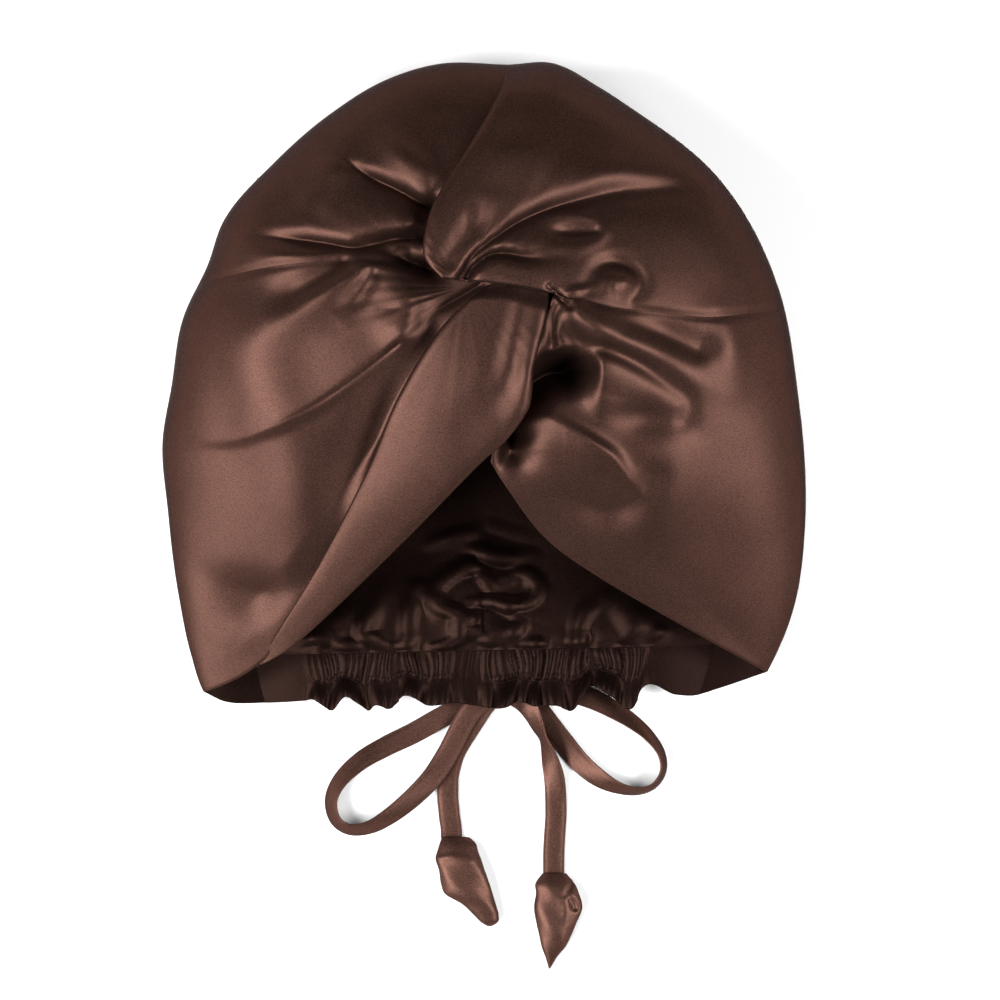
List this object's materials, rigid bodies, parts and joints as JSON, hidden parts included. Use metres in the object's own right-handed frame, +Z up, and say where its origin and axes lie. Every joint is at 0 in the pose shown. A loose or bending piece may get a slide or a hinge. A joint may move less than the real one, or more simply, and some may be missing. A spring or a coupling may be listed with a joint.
{
  "type": "sleep bonnet",
  "caption": "Soft double-satin sleep bonnet lying on its back, with a twisted front over an open face, an elastic gathered nape with a frill, and flat strings tied in a bow.",
  "frame": {"origin": "on the surface, under the middle of the bonnet as it lies on its back, strings left out", "axes": "+Z up out of the twisted front, +Y towards the crown, -Y towards the nape and its strings, +X to the right as seen from above"},
  "size_m": [0.2965, 0.4209, 0.1018],
  "materials": {
    "satin_front": "chocolate brown satin with soft tinted highlights and a fine weave",
    "satin_back": "chocolate brown satin, as the front",
    "satin_nape": "chocolate brown satin, gathered by elastic, with stitch lines",
    "satin_strings": "chocolate brown satin, edge-stitched flat strings and stuffed tips"
  },
  "bodies": {
    "root": {"back_panel": "satin_back", "crown_panel_left": "satin_front", "crown_panel_right": "satin_front", "front_band_left": "satin_front", "front_band_right": "satin_front", "twist_band": "satin_front", "nape_band": "satin_nape", "tie_knot": "satin_strings", "tie_loop_left": "satin_strings", "tie_loop_right": "satin_strings", "tie_tail_left": "satin_strings", "tie_tail_right": "satin_strings", "tie_tip_left": "satin_strings", "tie_tip_right": "satin_strings"}
  },
  "joints": []
}
